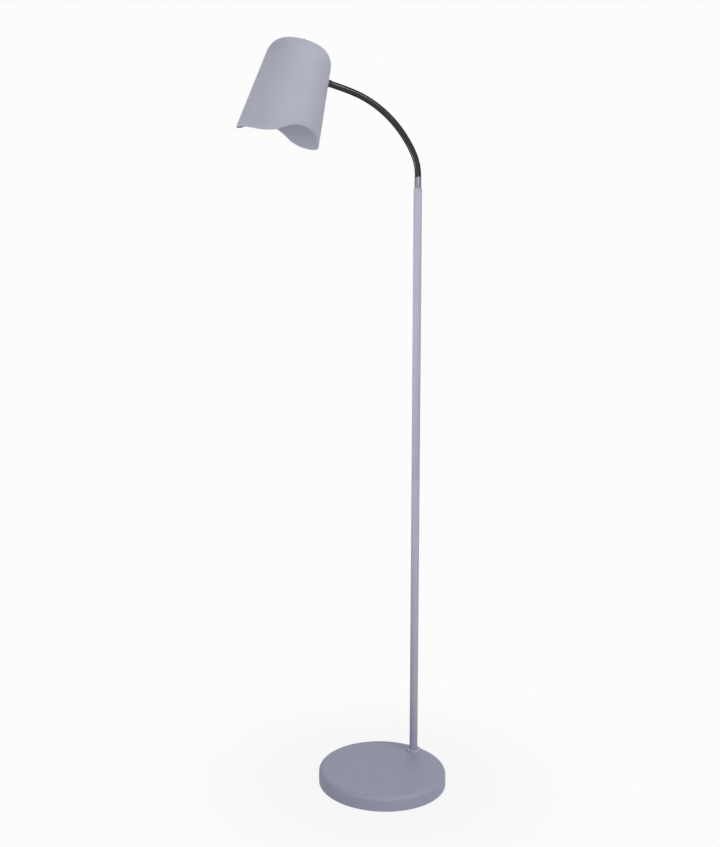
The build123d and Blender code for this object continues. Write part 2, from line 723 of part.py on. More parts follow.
def print_joints(centres, place):
    """Each neck joint's centre and the bend that straightens it, for the record."""
    lines = [Vector(0, 0, 1)] + [(b - a).normalized() for a, b in zip(centres, centres[1:])]
    lines.append(lines[-1])
    for number, joint in enumerate(centres, start=1):
        centre = (neck_place * Location(joint)).position
        bend = lines[number - 1].get_angle(lines[number])
        place_text = f"{centre.X:.3f} {centre.Y:.3f} {centre.Z:.3f}"
        print(f"neck joint {number}: {place_text} straightens by {bend:.3f} deg")
    crown = (neck_place * place).position
    print(f"crown: {crown.X:.2f} {crown.Y:.2f} {crown.Z:.2f}, lead bend {LEAD_BEND} mm")


os.makedirs("parts", exist_ok=True)
joints = joint_centres()
head = head_place(joints[-1], (joints[-1] - joints[-2]).normalized())
build_stand()
build_neck(joints)
build_head(head)
print_joints(joints, head)
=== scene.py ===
"""Gooseneck reading floor lamp: finishes, smooth turned pieces, the wound hose, lights and camera."""

import json
from math import asin, cos, pi, radians, sin, sqrt, tan

import bpy
from mathutils import Matrix, Vector


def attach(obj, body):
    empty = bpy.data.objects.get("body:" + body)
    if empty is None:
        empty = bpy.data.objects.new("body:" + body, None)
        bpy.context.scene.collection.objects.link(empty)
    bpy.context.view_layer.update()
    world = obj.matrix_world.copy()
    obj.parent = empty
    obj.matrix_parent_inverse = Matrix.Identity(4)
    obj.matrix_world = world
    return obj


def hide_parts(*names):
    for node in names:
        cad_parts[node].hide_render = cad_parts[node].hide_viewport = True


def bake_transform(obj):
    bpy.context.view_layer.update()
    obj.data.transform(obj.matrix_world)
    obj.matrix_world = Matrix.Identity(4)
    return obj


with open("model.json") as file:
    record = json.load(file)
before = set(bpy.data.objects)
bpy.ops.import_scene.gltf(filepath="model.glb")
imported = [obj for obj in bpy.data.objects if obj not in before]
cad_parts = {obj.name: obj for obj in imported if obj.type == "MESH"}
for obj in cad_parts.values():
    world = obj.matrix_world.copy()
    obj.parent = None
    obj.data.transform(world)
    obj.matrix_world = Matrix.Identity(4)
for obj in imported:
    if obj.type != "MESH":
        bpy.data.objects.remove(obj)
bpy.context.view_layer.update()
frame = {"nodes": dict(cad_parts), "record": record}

joints = {joint["name"]: joint for joint in frame["record"]["behaviour"]["joints"]}

MM = 0.001

# Fineness of the turned pieces: sides round the axis, steps in a rounded corner's arc, and the
# pinhole that is kept along the axis
SEGMENTS = 96
ARC_STEPS = 6
BASE_ARC_STEPS = 10
PINHOLE = 0.1 * MM

# Edges that turn by less than this are shaded smooth
SMOOTH_BELOW = radians(35)
BELL_SMOOTH_BELOW = radians(60)
HOSE_SMOOTH_BELOW = radians(80)

# Base
BASE_RADIUS = 124.88 * MM
BASE_HEIGHT = 30 * MM
BASE_EDGE = 9 * MM
SKIRT_LIFT = 1 * MM
COVER_WALL = 1.5 * MM

# Pole, its cap and the ring round its foot
POLE_PLACE = Vector((-103 * MM, 0, 0))
POLE_RADIUS = 8 * MM
POLE_BORE = 6.8 * MM
POLE_TOP = 1165 * MM
POLE_JOINT = 598 * MM
TUBE_EASE = 0.12 * MM
CAP_HEIGHT = 7 * MM
CAP_TOP_RADIUS = 7.1 * MM
CAP_BORE = 5.05 * MM
CAP_SHOULDER = 0.62
CAP_SHOULDER_EASE = 2 * MM
CAP_TOP_EASE = 0.5 * MM
CAP_BORE_EASE = 0.2 * MM
COLLAR_RING_RADIUS = 14.5 * MM
COLLAR_RING_HEIGHT = 4 * MM
COLLAR_RING_EDGE = 1.8 * MM
COLLAR_RING_GAP = 0.1 * MM
COLLAR_RING_EASE = 0.3 * MM

# Neck: ferrule, wound hose and upper collar
FERRULE_RADIUS = 6.3 * MM
FERRULE_LENGTH = 22 * MM
FERRULE_GAP = 0.2 * MM
FERRULE_FOOT_EASE = 0.4 * MM
FERRULE_TOP_EASE = 0.6 * MM
GROOVE_SETBACK = 3 * MM
GROOVE_DEPTH = 0.25 * MM
GROOVE_WIDTH = 0.6 * MM
GROOVE_EASE = 0.1 * MM
HOSE_RADIUS = 5.9 * MM
HOSE_GROOVE = 0.25 * MM
HOSE_BORE = 2.8 * MM
CREST_FLATNESS = 8
WIRE_PITCH = 2.9 * MM
HOSE_SIDES = 32
ROWS_PER_TURN = 8
CURVE_STEPS = 24
HOSE_TUCK = 3 * MM
THREAD_RADIUS = 5 * MM
NECK_COLLAR_RADIUS = 6.5 * MM
NECK_COLLAR_LENGTH = 12 * MM
NECK_COLLAR_EASE = 0.6 * MM
JOINT_GAP = 1.3 * MM
STUD_REACH = 14 * MM
STUD_EASE = 0.4 * MM
STUD_BORE_EASE = 0.2 * MM

# Shade
SHADE_LENGTH = 180 * MM
MOUTH_RADIUS = 76.3 * MM
FLARE = radians(6.8)
CROWN_RADIUS = 125 * MM
SHOULDER_RADIUS = 38 * MM
SHADE_WALL = 1 * MM
SCALLOP_RADIUS = 66 * MM
SCALLOP_HEIGHT = 27 * MM
SCALLOP_OFFSET = -9.5 * MM
SCALLOP_EASE = 60 * MM
SCALLOP_TURN = radians(4)
ENTRY_DEPTH = 57 * MM
SHADE_COLUMNS = 192
CROWN_STEPS = 12
FLANK_ROWS = 16
RIM_ROWS = 5
RIM_PASSES = 12

# Crown screw: the dome's points are degrees from its axis
SCREW_HEAD_RADIUS = 4.8 * MM
SCREW_SHANK_RADIUS = 2.5 * MM
SCREW_LENGTH = 9 * MM
SCREW_RIM = 0.8 * MM
SCREW_DOME = 1.6 * MM
SCREW_DOME_POINTS = (10, 18, 26, 34, 42, 50)

# Lampholder
HOLDER_RADIUS = 20 * MM
HOLDER_TOP = 13.4 * MM
CAP_DEPTH = 14 * MM
CAP_SEAT_RADIUS = 9 * MM
CAP_SEAT_EASE = 0.8 * MM
CAP_DROP = 2 * MM
CAP_DOME_EASE = 8 * MM
CAP_INSIDE = 16 * MM
CAP_ROOF = 3 * MM
SHELL_DEPTH = 33 * MM
SHELL_TAPER = 1.5 * MM
SHELL_SEAM_EASE = 0.3 * MM
SHELL_MOUTH_EASE = 0.7 * MM
HOLDER_WALL = 3 * MM
GRIPS = 6
GRIP_START = 0.2
GRIP_SPAN = 0.6
GRIP_DEPTH = 0.5 * MM
GRIP_HALF = 1.1 * MM
GRIP_FLOOR = 0.6 * MM
GRIP_EASE = 0.2 * MM

# Lamp
GLOBE_RADIUS = 30 * MM
COLLAR_LOW_RADIUS = 27 * MM
LAMP_CAP_RADIUS = 13.2 * MM
LAMP_COLLAR_TOP = 61 * MM
LAMP_COLLAR_DEPTH = 31 * MM
LAMP_COLLAR_LIP = 1 * MM
LAMP_COLLAR_DROP = 0.5 * MM
FLARE_CURVE = 0.6
LAMP_STEPS = 16

# Paints: fine texture with a soft sheen
COATED = {"Specular IOR Level": 0.4}
COAT_ROUGH = (0.42, 0.62)
COAT_GRAIN = 1400
COAT_BUMP = 0.06 * MM

# Finish of each material slot: darkest and lightest colour, smoothest and roughest, grains in a metre
# and their height in metres; stretch draws the grain out, and sockets are set on the shader
FINISHES = {
    # powder_coat is a darker copy of the paint that the pole and shade also wear: painted shade on the base
    "powder_coat": dict(colour=(0.345, 0.358, 0.472), tint=(0.372, 0.386, 0.504), rough=COAT_ROUGH,
                        grain=COAT_GRAIN, bump=COAT_BUMP, sockets=COATED),
    # A lighter copy of the same paint for the pole: painted light on the pole
    "pole_coat_painted_light": dict(colour=(0.445, 0.43, 0.55), tint=(0.475, 0.46, 0.585), rough=COAT_ROUGH,
                      grain=COAT_GRAIN, bump=COAT_BUMP, sockets=COATED),
    "shade_coat": dict(colour=(0.392, 0.402, 0.48), tint=(0.422, 0.432, 0.514), rough=COAT_ROUGH,
                       grain=COAT_GRAIN, bump=COAT_BUMP, sockets=COATED),
    # The near-black Specular Tint of plating and hose darkens their edge reflections: painted shade at the
    # grazing edges
    "plating": dict(colour=(0.215, 0.21, 0.262), tint=(0.29, 0.285, 0.345), rough=(0.2, 0.3), grain=500,
                    bump=0.01 * MM, stretch=(1, 1, 0.2), metal=1.0,
                    sockets={"Specular Tint": (0.04, 0.04, 0.05, 1)}),
    # Near-black Specular Tint: painted shade on the hose's grazing edges
    "hose": dict(colour=(0.03, 0.03, 0.034), tint=(0.052, 0.052, 0.058), rough=(0.14, 0.24), grain=900,
                 bump=0.008 * MM, metal=1.0, sockets={"Specular Tint": (0.02, 0.02, 0.025, 1)}),
    "weight": dict(colour=(0.05, 0.05, 0.05), tint=(0.11, 0.1, 0.1), rough=(0.6, 0.9), grain=500,
                   bump=0.3 * MM, metal=0.6),
    "hardware": dict(colour=(0.42, 0.42, 0.44), tint=(0.6, 0.6, 0.62), rough=(0.25, 0.45), grain=700,
                     bump=0.03 * MM, stretch=(1, 1, 0.15), metal=1.0),
    "pad": dict(colour=(0.012, 0.012, 0.013), tint=(0.03, 0.03, 0.032), rough=(0.75, 0.95), grain=900,
                bump=0.2 * MM),
    "insulation": dict(colour=(0.014, 0.014, 0.016), tint=(0.028, 0.028, 0.03), rough=(0.4, 0.6),
                       grain=700, bump=0.05 * MM),
    "holder": dict(colour=(0.68, 0.68, 0.65), tint=(0.74, 0.74, 0.72), rough=(0.32, 0.48), grain=1200,
                   bump=0.03 * MM),
    "ceramic": dict(colour=(0.66, 0.62, 0.55), tint=(0.78, 0.75, 0.7), rough=(0.5, 0.8), grain=900,
                    bump=0.06 * MM),
    "contacts": dict(colour=(0.42, 0.26, 0.08), tint=(0.62, 0.42, 0.16), rough=(0.2, 0.4), grain=600,
                     bump=0.02 * MM, metal=1.0),
    "lamp_metal": dict(colour=(0.5, 0.5, 0.5), tint=(0.66, 0.66, 0.66), rough=(0.22, 0.4), grain=600,
                       bump=0.02 * MM, metal=1.0),
    "lamp_body": dict(colour=(0.74, 0.74, 0.73), tint=(0.8, 0.8, 0.79), rough=(0.35, 0.5), grain=1200,
                      bump=0.03 * MM),
    "opal": dict(colour=(0.82, 0.81, 0.78), tint=(0.88, 0.87, 0.84), rough=(0.3, 0.42), grain=1500,
                 bump=0.01 * MM, sockets={"Subsurface Weight": 0.4, "Subsurface Scale": 0.01}),
}

# Fine grain over broad soft variation, and the part of their product that the colours span
FINE_DETAIL = 5.0
BROAD_DETAIL = 3.0
BROAD_SCALE = 14.0
COLOUR_SPAN = (0.12, 0.42)
BUMP_STRENGTH = 0.8

# Stage: white paper, and how far from the base's centre the floor keeps a share of its shadow
PAPER = (0.974, 0.974, 0.974, 1)
AMBIENT = 0.24
FLOOR_SIZE = 30.0
FLOOR_COLOUR = (0.8, 0.8, 0.8, 1)
FLOOR_ROUGHNESS = 0.9
SHADOW_REACH = (0.12, 0.5)
PAPER_SHARE = 0.9

# Lights: name, place, what each looks at, width and height, watts, and spread in degrees
LIGHTS = (
    ("key", (1.7, 2.0, 1.9), (0, 0, 1.0), (0.5, 2.4), 26, 180),
    ("top", (0.6, 0.5, 3.4), (0, 0, 0.5), (1.6, 1.6), 13, 180),
    ("side", (-0.4, 2.3, 2.4), (0, 0, 1.2), (0.5, 0.5), 20, 180),
    ("fill", (2.6, -0.6, 1.6), (0, 0, 0.9), (1.2, 2.0), 4, 180),
    ("rim", (-2.4, -1.6, 2.0), (0, 0, 1.1), (1.6, 1.8), 5, 180),
    ("low", (1.05, -0.75, 0.45), (0.13, -0.1, 1.3), (0.6, 0.6), 3.2, 90),
)

# Camera
CAMERA_PLACE = Vector((2.03747, 1.59719, 1.30901))
CAMERA_FORWARD = Vector((-0.71820884, -0.66943887, -0.18980952))
CAMERA_UP = Vector((-0.14763183, -0.11997058, 0.98173922))
LENS = 59.504
SHIFT = (0.1114, -0.0485)


# ---------------------------------------------------------------- materials

def plug(tree, socket, value):
    """Feed a node's input from another node's output, or set it to a plain value."""
    if isinstance(value, bpy.types.NodeSocket):
        tree.links.new(value, socket)
    else:
        socket.default_value = value


def node_of(tree, kind, **values):
    """A shader node, with its named inputs fed; an underscore stands for a space."""
    node = tree.nodes.new(kind)
    for name, value in values.items():
        plug(tree, node.inputs[name.replace("_", " ")], value)
    return node


def maths(tree, operation, first, second):
    """The result of a math node on two values."""
    node = tree.nodes.new("ShaderNodeMath")
    node.operation = operation
    plug(tree, node.inputs[0], first)
    plug(tree, node.inputs[1], second)
    return node.outputs["Value"]


def surface(name, colour, tint, rough, grain, bump, stretch=(1, 1, 1), metal=0.0, sockets=None):
    """Principled surface: fine grain in colour, roughness and bump, over broad soft variation."""
    material = bpy.data.materials.new(name)
    material.use_nodes = True
    tree = material.node_tree
    place = tree.nodes.new("ShaderNodeTexCoord").outputs["Object"]
    drawn = node_of(tree, "ShaderNodeMapping", Vector=place, Scale=stretch).outputs["Vector"]
    fine = node_of(tree, "ShaderNodeTexNoise", Vector=drawn, Scale=grain,
                   Detail=FINE_DETAIL).outputs["Fac"]
    broad = node_of(tree, "ShaderNodeTexNoise", Vector=place, Scale=BROAD_SCALE,
                    Detail=BROAD_DETAIL).outputs["Fac"]
    spread = node_of(tree, "ShaderNodeMapRange", Value=maths(tree, "MULTIPLY", fine, broad),
                     From_Min=COLOUR_SPAN[0], From_Max=COLOUR_SPAN[1]).outputs["Result"]
    ramp = node_of(tree, "ShaderNodeValToRGB", Fac=spread)
    ramp.color_ramp.elements[0].color = (*colour, 1)
    ramp.color_ramp.elements[1].color = (*tint, 1)
    dull = node_of(tree, "ShaderNodeMapRange", Value=fine, To_Min=rough[0], To_Max=rough[1])
    relief = node_of(tree, "ShaderNodeBump", Height=fine, Distance=bump, Strength=BUMP_STRENGTH)
    shader = tree.nodes["Principled BSDF"]
    inputs = {"Base Color": ramp.outputs["Color"], "Roughness": dull.outputs["Result"],
              "Normal": relief.outputs["Normal"], "Metallic": metal, **(sockets or {})}
    for socket, value in inputs.items():
        plug(tree, shader.inputs[socket], value)
    return material


materials = {slot: surface(slot, **finish) for slot, finish in FINISHES.items()}
slots = {part["node"]: part["material_slot"] for part in frame["record"]["subparts"]}


def dress_nodes():
    """Every CAD node gets its slot's material."""
    for node, piece in frame["nodes"].items():
        piece.data.materials.clear()
        piece.data.materials.append(materials[slots[node]])


# ---------------------------------------------------------------- mesh helpers

def make_piece(name, points, faces, node, body, material=None, smooth_below=SMOOTH_BELOW):
    """A mesh piece that stands for a CAD node and rides on a body."""
    mesh = bpy.data.meshes.new(name)
    mesh.from_pydata(points, [], faces)
    mesh.validate()
    piece = bpy.data.objects.new(name, mesh)
    bpy.context.collection.objects.link(piece)
    mesh.materials.append(materials[material or slots[node]])
    mesh.shade_smooth()
    mesh.set_sharp_from_angle(angle=smooth_below)
    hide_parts(node)
    if body:
        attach(piece, body)
    return piece


def rounded(corners, steps=ARC_STEPS):
    """A profile from corners (radius, height, rounding): each rounded corner becomes an arc."""
    profile = []
    for i, (x, y, rounding) in enumerate(corners):
        here = Vector((x, y))
        before = Vector(corners[i - 1][:2]) - here
        after = Vector(corners[(i + 1) % len(corners)][:2]) - here
        if not rounding:
            profile.append(here)
            continue
        half = before.angle(after) / 2
        reach = rounding / tan(half)
        start, end = here + before.normalized() * reach, here + after.normalized() * reach
        centre = here + (before.normalized() + after.normalized()).normalized() * (rounding / sin(half))
        arms = start - centre, end - centre
        sweep = arms[0].angle_signed(arms[1])
        for k in range(steps + 1):
            turn = Matrix.Rotation(-sweep * k / steps, 2)
            profile.append(centre + turn @ arms[0])
    return [tuple(point) for point in profile]


def skin(rings, sides):
    """Faces of a closed mesh whose points lie in rings: each joins the next, and the last the first."""
    faces = []
    for ring in range(rings):
        low, high = ring * sides, (ring + 1) % rings * sides
        for side in range(sides):
            after = (side + 1) % sides
            faces.append((low + side, low + after, high + after, high + side))
    return faces


def lathe(name, profile, place, node, body, material=None):
    """A closed profile of (radius, height) turned about the Z axis of place."""
    points = []
    for radius, height in profile:
        for k in range(SEGMENTS):
            angle = 2 * pi * k / SEGMENTS
            points.append(place @ Vector((radius * cos(angle), radius * sin(angle), height)))
    return make_piece(name, points, skin(len(profile), SEGMENTS), node, body, material)


# ---------------------------------------------------------------- base and pole

def make_base():
    """Pressed cover with its smooth rounded edge and turned-in wall."""
    inner = BASE_RADIUS - COVER_WALL
    under = BASE_HEIGHT - COVER_WALL
    lip = COVER_WALL / 3
    profile = rounded([
        (PINHOLE, BASE_HEIGHT, 0), (BASE_RADIUS, BASE_HEIGHT, BASE_EDGE), (BASE_RADIUS, SKIRT_LIFT, lip),
        (inner, SKIRT_LIFT, lip), (inner, under, BASE_EDGE - COVER_WALL), (PINHOLE, under, 0),
    ], steps=BASE_ARC_STEPS)
    lathe("cover", profile, Matrix.Identity(4), "base_cover", "stand")


def make_pole():
    """Both tubes, the turned cap and the ring round the foot, in a lighter copy of the shared paint: painted
    light on the pole.
    """
    pole = Matrix.Translation(POLE_PLACE)
    cap_low = POLE_TOP - CAP_HEIGHT
    for node, low, high in (("pole_lower", BASE_HEIGHT, POLE_JOINT), ("pole_upper", POLE_JOINT, cap_low)):
        profile = rounded([(POLE_RADIUS, low, TUBE_EASE), (POLE_RADIUS, high, TUBE_EASE),
                           (POLE_BORE, high, 0), (POLE_BORE, low, 0)], steps=2)
        lathe(node + "_tube", profile, pole, node, "stand", material="pole_coat_painted_light")
    profile = rounded([
        (POLE_RADIUS, cap_low, TUBE_EASE),
        (POLE_RADIUS, cap_low + CAP_HEIGHT * CAP_SHOULDER, CAP_SHOULDER_EASE),
        (CAP_TOP_RADIUS, POLE_TOP, CAP_TOP_EASE), (CAP_BORE, POLE_TOP, CAP_BORE_EASE), (CAP_BORE, cap_low, 0),
    ])
    lathe("pole_top_cap", profile, pole, "pole_cap", "stand", material="pole_coat_painted_light")
    high = BASE_HEIGHT + COLLAR_RING_HEIGHT
    inner = POLE_RADIUS + COLLAR_RING_GAP
    profile = rounded([
        (COLLAR_RING_RADIUS, BASE_HEIGHT, 0), (COLLAR_RING_RADIUS, high, COLLAR_RING_EDGE),
        (inner, high, COLLAR_RING_EASE), (inner, BASE_HEIGHT, 0),
    ])
    lathe("foot_ring", profile, pole, "foot_collar", "stand", material="pole_coat_painted_light")


# ---------------------------------------------------------------- neck

bends = [joints[f"neck_bend_{k}"] for k in range(1, len(joints))]
centres = [Vector(joint["pos_m"]) for joint in bends]
bend_axis = Vector(bends[0]["axis"]).normalized()
along = (centres[-1] - centres[-2]).normalized()


def curve_between(start, end, leaving, arriving):
    """Points of a smooth cubic from start to end with the given directions at its ends."""
    span = (end - start).length
    points = []
    for k in range(CURVE_STEPS):
        t = k / CURVE_STEPS
        points.append(start * (2 * t ** 3 - 3 * t ** 2 + 1) + leaving * span * (t ** 3 - 2 * t ** 2 + t)
                      + end * (3 * t ** 2 - 2 * t ** 3) + arriving * span * (t ** 3 - t ** 2))
    return points


def neck_line():
    """The hose's centre line through the joints, and its length up to each joint."""
    runs = [(b - a).normalized() for a, b in zip(centres, centres[1:])]
    headings = [Vector((0, 0, 1))] + [(a + b).normalized() for a, b in zip(runs, runs[1:])] + [along]
    points = [centres[0] - headings[0] * HOSE_TUCK]
    marks = []
    for k in range(len(runs)):
        marks.append(len(points))
        points += curve_between(centres[k], centres[k + 1], headings[k], headings[k + 1])
    marks.append(len(points))
    points += [centres[-1], centres[-1] + along * HOSE_TUCK]
    lengths = [0.0]
    for a, b in zip(points, points[1:]):
        lengths.append(lengths[-1] + (b - a).length)
    return points, lengths, [lengths[mark] for mark in marks]


def on_line(points, lengths, distance):
    """Point and heading of the line at a distance along it."""
    k = max(i for i in range(len(points) - 1) if i == 0 or lengths[i] <= distance)
    share = (distance - lengths[k]) / (lengths[k + 1] - lengths[k])
    return points[k].lerp(points[k + 1], share), (points[k + 1] - points[k]).normalized()


def hose_radius(turns):
    """Outside of the close-wound wire: broad flat crests with narrow grooves between them."""
    across = 2 * (turns % 1) - 1
    return HOSE_RADIUS - HOSE_GROOVE * across ** CREST_FLATNESS


def make_hose():
    """One length of wound hose for each joint, from the middle of one link to the middle of the next."""
    points, lengths, marks = neck_line()
    middles = [(a + b) / 2 for a, b in zip(marks, marks[1:])]
    ends = [0.0] + middles + [lengths[-1]]
    turns = [side / HOSE_SIDES for side in range(HOSE_SIDES)]
    for k in range(len(centres)):
        rows = round((ends[k + 1] - ends[k]) / WIRE_PITCH * ROWS_PER_TURN)
        outside = [ends[k] + (ends[k + 1] - ends[k]) * row / rows for row in range(rows + 1)]
        bore = [outside[-1], outside[rows // 2], outside[0]]
        rings = [(distance, [hose_radius(distance / WIRE_PITCH + turn) for turn in turns])
                 for distance in outside]
        rings += [(distance, [HOSE_BORE] * HOSE_SIDES) for distance in bore]
        verts = []
        for distance, radii in rings:
            centre, heading = on_line(points, lengths, distance)
            across = heading.cross(bend_axis)
            for turn, radius in zip(turns, radii):
                arm = bend_axis * cos(2 * pi * turn) + across * sin(2 * pi * turn)
                verts.append(centre + arm * radius)
        link = min(k + 1, len(centres) - 1)
        piece = make_piece(f"hose_{k + 1}", verts, skin(len(rings), HOSE_SIDES), f"hose_link_{link}", None,
                           smooth_below=HOSE_SMOOTH_BELOW)
        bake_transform(piece)


def make_lower_ferrule():
    """Plated sleeve with two turned grooves, open at its top for the hose's end."""
    foot = Matrix.Translation(Vector(centres[0]) - Vector((0, 0, FERRULE_LENGTH)))
    high = FERRULE_LENGTH - JOINT_GAP
    inner = HOSE_RADIUS - HOSE_GROOVE
    corners = [(FERRULE_RADIUS, FERRULE_GAP, FERRULE_FOOT_EASE)]
    for level in (GROOVE_SETBACK, high - GROOVE_SETBACK):
        floor = FERRULE_RADIUS - GROOVE_DEPTH
        corners += [(FERRULE_RADIUS, level - GROOVE_WIDTH, GROOVE_EASE),
                    (floor, level - GROOVE_WIDTH / 2, GROOVE_EASE),
                    (floor, level + GROOVE_WIDTH / 2, GROOVE_EASE),
                    (FERRULE_RADIUS, level + GROOVE_WIDTH, GROOVE_EASE)]
    corners += [(FERRULE_RADIUS, high, FERRULE_TOP_EASE), (inner, high, 0), (inner, high - HOSE_TUCK, 0),
                (HOSE_BORE, high - HOSE_TUCK, 0), (HOSE_BORE, FERRULE_GAP, 0)]
    lathe("lower_ferrule", rounded(corners, steps=4), foot, "neck_ferrule", "neck_foot")


def make_upper_collar():
    """Dark collar against the shade's wall, with its stud through the wall."""
    top = shade_place() @ Matrix.Translation((-wall_distance() - NECK_COLLAR_LENGTH, 0, -ENTRY_DEPTH))
    top = top @ Matrix.Rotation(pi / 2, 4, "Y")
    wall = NECK_COLLAR_LENGTH + SHADE_WALL / 2
    end = NECK_COLLAR_LENGTH + STUD_REACH
    inner = HOSE_RADIUS - HOSE_GROOVE
    seat = JOINT_GAP + HOSE_TUCK
    corners = [(inner, JOINT_GAP, 0), (NECK_COLLAR_RADIUS, JOINT_GAP, NECK_COLLAR_EASE),
               (NECK_COLLAR_RADIUS, wall, 0), (THREAD_RADIUS, wall, 0), (THREAD_RADIUS, end, STUD_EASE),
               (HOSE_BORE, end, STUD_BORE_EASE), (HOSE_BORE, seat, 0), (inner, seat, 0)]
    lathe("upper_collar", rounded(corners, steps=4), top, "neck_collar", "head", material="hose")


# ---------------------------------------------------------------- shade

def side_radius(depth, inset=0.0):
    """Radius of the straight flank at a depth below the crown."""
    return MOUTH_RADIUS - (SHADE_LENGTH - depth) * tan(FLARE) - inset / cos(FLARE)


def wall_distance():
    """How far the outside of the wall lies from the axis where the neck enters."""
    return side_radius(ENTRY_DEPTH)


def shade_place():
    """The shade's own frame: crown at its origin, mouth towards -Z, X away from the pole."""
    up = along.cross(bend_axis)
    crown = centres[-1] + along * (NECK_COLLAR_LENGTH + wall_distance()) + up * ENTRY_DEPTH
    across = up.cross(along)
    return Matrix.Translation(crown) @ Matrix((along, across, up)).transposed().to_4x4()


def scallop_height(x):
    """How far the rim is cut back at x: a round scallop eased into the square end."""
    away = abs(x - SCALLOP_OFFSET)
    drop = SCALLOP_RADIUS - SCALLOP_HEIGHT
    reach = SCALLOP_RADIUS + SCALLOP_EASE
    end = sqrt(reach ** 2 - (drop + SCALLOP_EASE) ** 2)
    if away < end * SCALLOP_RADIUS / reach:
        return sqrt(SCALLOP_RADIUS ** 2 - away ** 2) - drop
    if away < end:
        return SCALLOP_EASE - sqrt(SCALLOP_EASE ** 2 - (end - away) ** 2)
    return 0.0


def rim_depth(angle):
    """Depth of the rim at an angle round the shade, found by passes as the flank's radius grows."""
    depth = SHADE_LENGTH
    for _ in range(RIM_PASSES):
        depth = SHADE_LENGTH - scallop_height(side_radius(depth) * cos(angle - SCALLOP_TURN))
    return depth


def bell_profile(inset):
    """Crown and shoulder of the bell as (radius, depth), down to where the flank begins."""
    crown, shoulder = CROWN_RADIUS - inset, SHOULDER_RADIUS - inset
    slope = tan(FLARE)
    # The shoulder's centre is its radius from the flank and in line with the crown's centre
    level = MOUTH_RADIUS - SHADE_LENGTH * slope - SHOULDER_RADIUS / cos(FLARE)
    gap = CROWN_RADIUS - SHOULDER_RADIUS
    a, b, c = 1 + slope ** 2, slope * level - CROWN_RADIUS, level ** 2 + CROWN_RADIUS ** 2 - gap ** 2
    depth = (-b - sqrt(b * b - a * c)) / a
    radius = level + slope * depth
    lean = asin(radius / gap)
    profile = []
    for k in range(CROWN_STEPS):
        angle = lean * k / CROWN_STEPS
        profile.append((max(crown * sin(angle), PINHOLE), CROWN_RADIUS - crown * cos(angle)))
    for k in range(CROWN_STEPS + 1):
        angle = lean + (pi / 2 - FLARE - lean) * k / CROWN_STEPS
        profile.append((radius + shoulder * sin(angle), depth - shoulder * cos(angle)))
    return profile


def flank(profile, rim, inset=0.0):
    """The straight flank's (radius, depth) from the end of a profile down to the rim."""
    start = profile[-1][1]
    depths = [start + (rim - SHADE_WALL / 2 - start) * k / FLANK_ROWS for k in range(1, FLANK_ROWS + 1)]
    return [(side_radius(depth, inset), depth) for depth in depths]


def make_shade():
    """Spun bell, its rim rounded over and cut to the scallop."""
    outer, inner = bell_profile(0), bell_profile(SHADE_WALL)
    place = shade_place()
    half = SHADE_WALL / 2
    points = []
    for column in range(SHADE_COLUMNS):
        angle = 2 * pi * column / SHADE_COLUMNS
        rim = rim_depth(angle)
        edge = rim - half
        turns = [pi * k / RIM_ROWS for k in range(1, RIM_ROWS)]
        lip = [(side_radius(edge, half) + half * cos(turn), edge + half * sin(turn)) for turn in turns]
        inside = flank(inner, rim, SHADE_WALL)
        line = outer + flank(outer, rim) + lip + inside[::-1] + inner[::-1]
        points += [place @ Vector((r * cos(angle), r * sin(angle), -d)) for r, d in line]
    rows = len(points) // SHADE_COLUMNS
    make_piece("bell", points, skin(SHADE_COLUMNS, rows), "shade", "head", smooth_below=BELL_SMOOTH_BELOW)


# ---------------------------------------------------------------- lampholder and lamp

def make_crown_screw(place):
    """Round-head screw through the crown."""
    brim = radians(SCREW_DOME_POINTS[-1])
    profile = [(PINHOLE, SCREW_RIM + SCREW_DOME)]
    for angle in map(radians, SCREW_DOME_POINTS):
        rise = (cos(angle) - cos(brim)) / (1 - cos(brim))
        profile.append((SCREW_HEAD_RADIUS * sin(angle) / sin(brim), SCREW_RIM + SCREW_DOME * rise))
    profile += [(SCREW_HEAD_RADIUS, 0.0), (SCREW_SHANK_RADIUS, 0.0), (SCREW_SHANK_RADIUS, -SCREW_LENGTH),
                (PINHOLE, -SCREW_LENGTH)]
    lathe("crown_fixing", profile, place, "crown_screw", "head")


def make_holder(place):
    """Domed cap and tapered skirt of the lampholder, with the skirt's grip grooves."""
    cap_low = -HOLDER_TOP - CAP_DEPTH
    roof = -HOLDER_TOP - CAP_ROOF
    profile = rounded([
        (THREAD_RADIUS, -HOLDER_TOP, 0), (CAP_SEAT_RADIUS, -HOLDER_TOP, CAP_SEAT_EASE),
        (HOLDER_RADIUS, -HOLDER_TOP - CAP_DROP, CAP_DOME_EASE), (HOLDER_RADIUS, cap_low, SHELL_SEAM_EASE),
        (CAP_INSIDE, cap_low, 0), (CAP_INSIDE, roof, 0), (THREAD_RADIUS, roof, 0),
    ])
    lathe("holder_dome", profile, place, "holder_cap", "head")
    mouth = cap_low - SHELL_DEPTH
    corners = [(HOLDER_RADIUS, cap_low, SHELL_SEAM_EASE)]
    for k in range(GRIPS):
        share = GRIP_START + GRIP_SPAN * k / (GRIPS - 1)
        level, radius = cap_low - SHELL_DEPTH * share, HOLDER_RADIUS - SHELL_TAPER * share
        floor = radius - GRIP_DEPTH
        corners += [(radius, level + GRIP_HALF, GRIP_EASE), (floor, level + GRIP_FLOOR, GRIP_EASE),
                    (floor, level - GRIP_FLOOR, GRIP_EASE), (radius, level - GRIP_HALF, GRIP_EASE)]
    low_radius = HOLDER_RADIUS - SHELL_TAPER
    bore = low_radius - HOLDER_WALL
    corners += [(low_radius, mouth, SHELL_MOUTH_EASE), (bore, mouth, SHELL_MOUTH_EASE), (bore, cap_low, 0)]
    lathe("holder_skirt", rounded(corners, steps=3), place, "holder_shell", "head")


